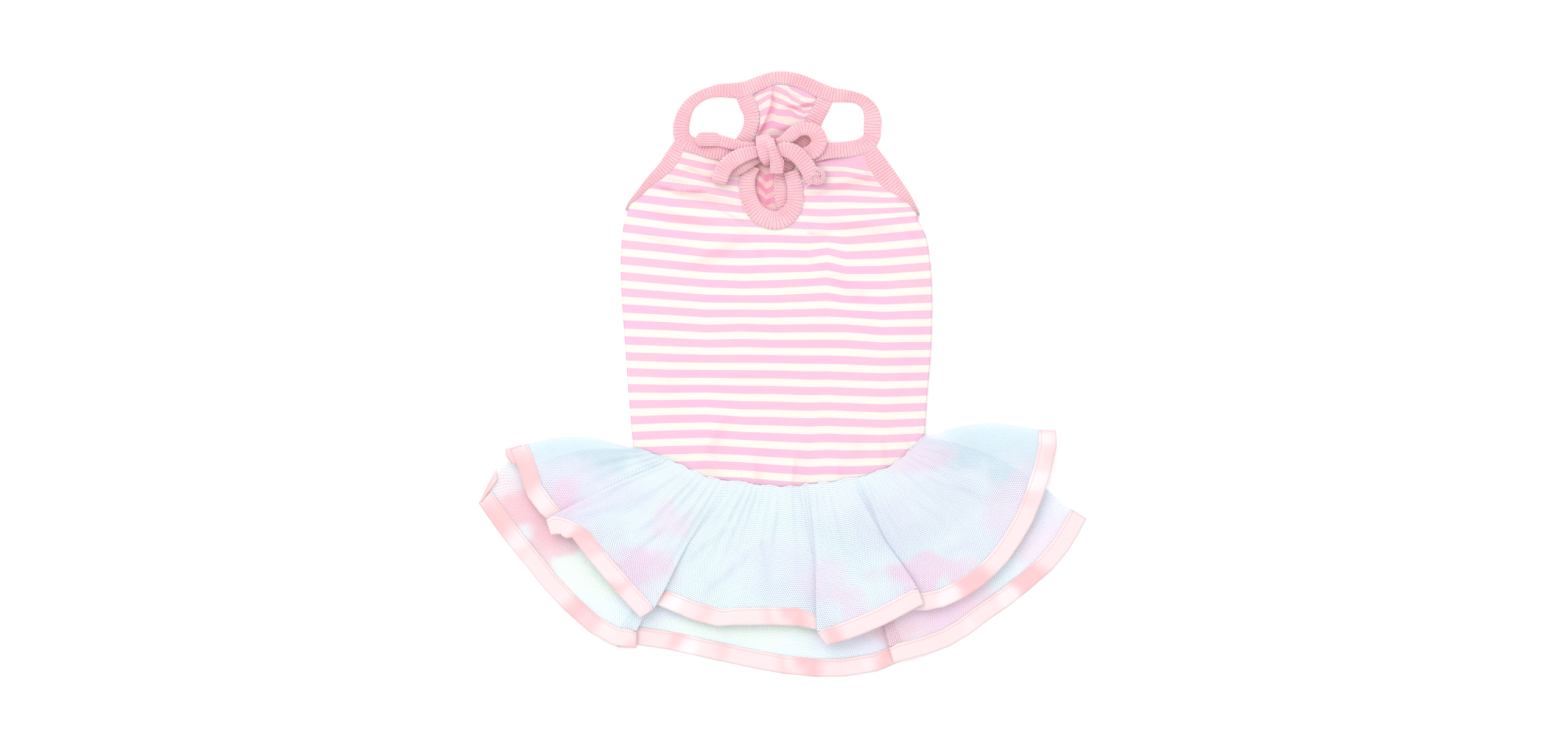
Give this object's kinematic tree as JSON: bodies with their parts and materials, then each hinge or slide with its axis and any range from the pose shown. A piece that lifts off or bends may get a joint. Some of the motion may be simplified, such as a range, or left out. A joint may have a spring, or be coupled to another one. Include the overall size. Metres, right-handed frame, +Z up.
{
  "type": "pet dress",
  "caption": "Small dog's dress laid flat, back up: striped jersey body, rib straps and bow at a keyhole, and a two-tier tulle skirt with satin ribbon hems.",
  "frame": {"origin": "middle of the dress's bounding box, at the flat underside that lies on the surface", "axes": "+X to the right in the picture, +Y from the hem to the neck, +Z up from the surface it lies on"},
  "size_m": [0.3633, 0.3616, 0.0136],
  "materials": {
    "jersey": "soft striped cotton jersey",
    "rib": "1x1 rib knit, matte",
    "net": "soft tulle net",
    "ribbon": "satin ribbon"
  },
  "bodies": {
    "root": {"back_panel": "jersey", "chest_panel": "jersey", "chest_neck_binding": "rib", "strap_left": "rib", "strap_right": "rib", "back_neck_binding_left": "rib", "back_neck_binding_right": "rib", "keyhole_binding": "rib", "leg_binding_back_left": "rib", "leg_binding_back_right": "rib", "leg_binding_chest_left": "rib", "leg_binding_chest_right": "rib", "bow_knot": "rib", "bow_loop_left": "rib", "bow_loop_right": "rib", "tie_tail_left": "rib", "tie_tail_right": "rib", "skirt_upper_tier": "net", "skirt_lower_tier": "net", "ribbon_upper": "ribbon", "ribbon_lower": "ribbon"}
  },
  "joints": []
}
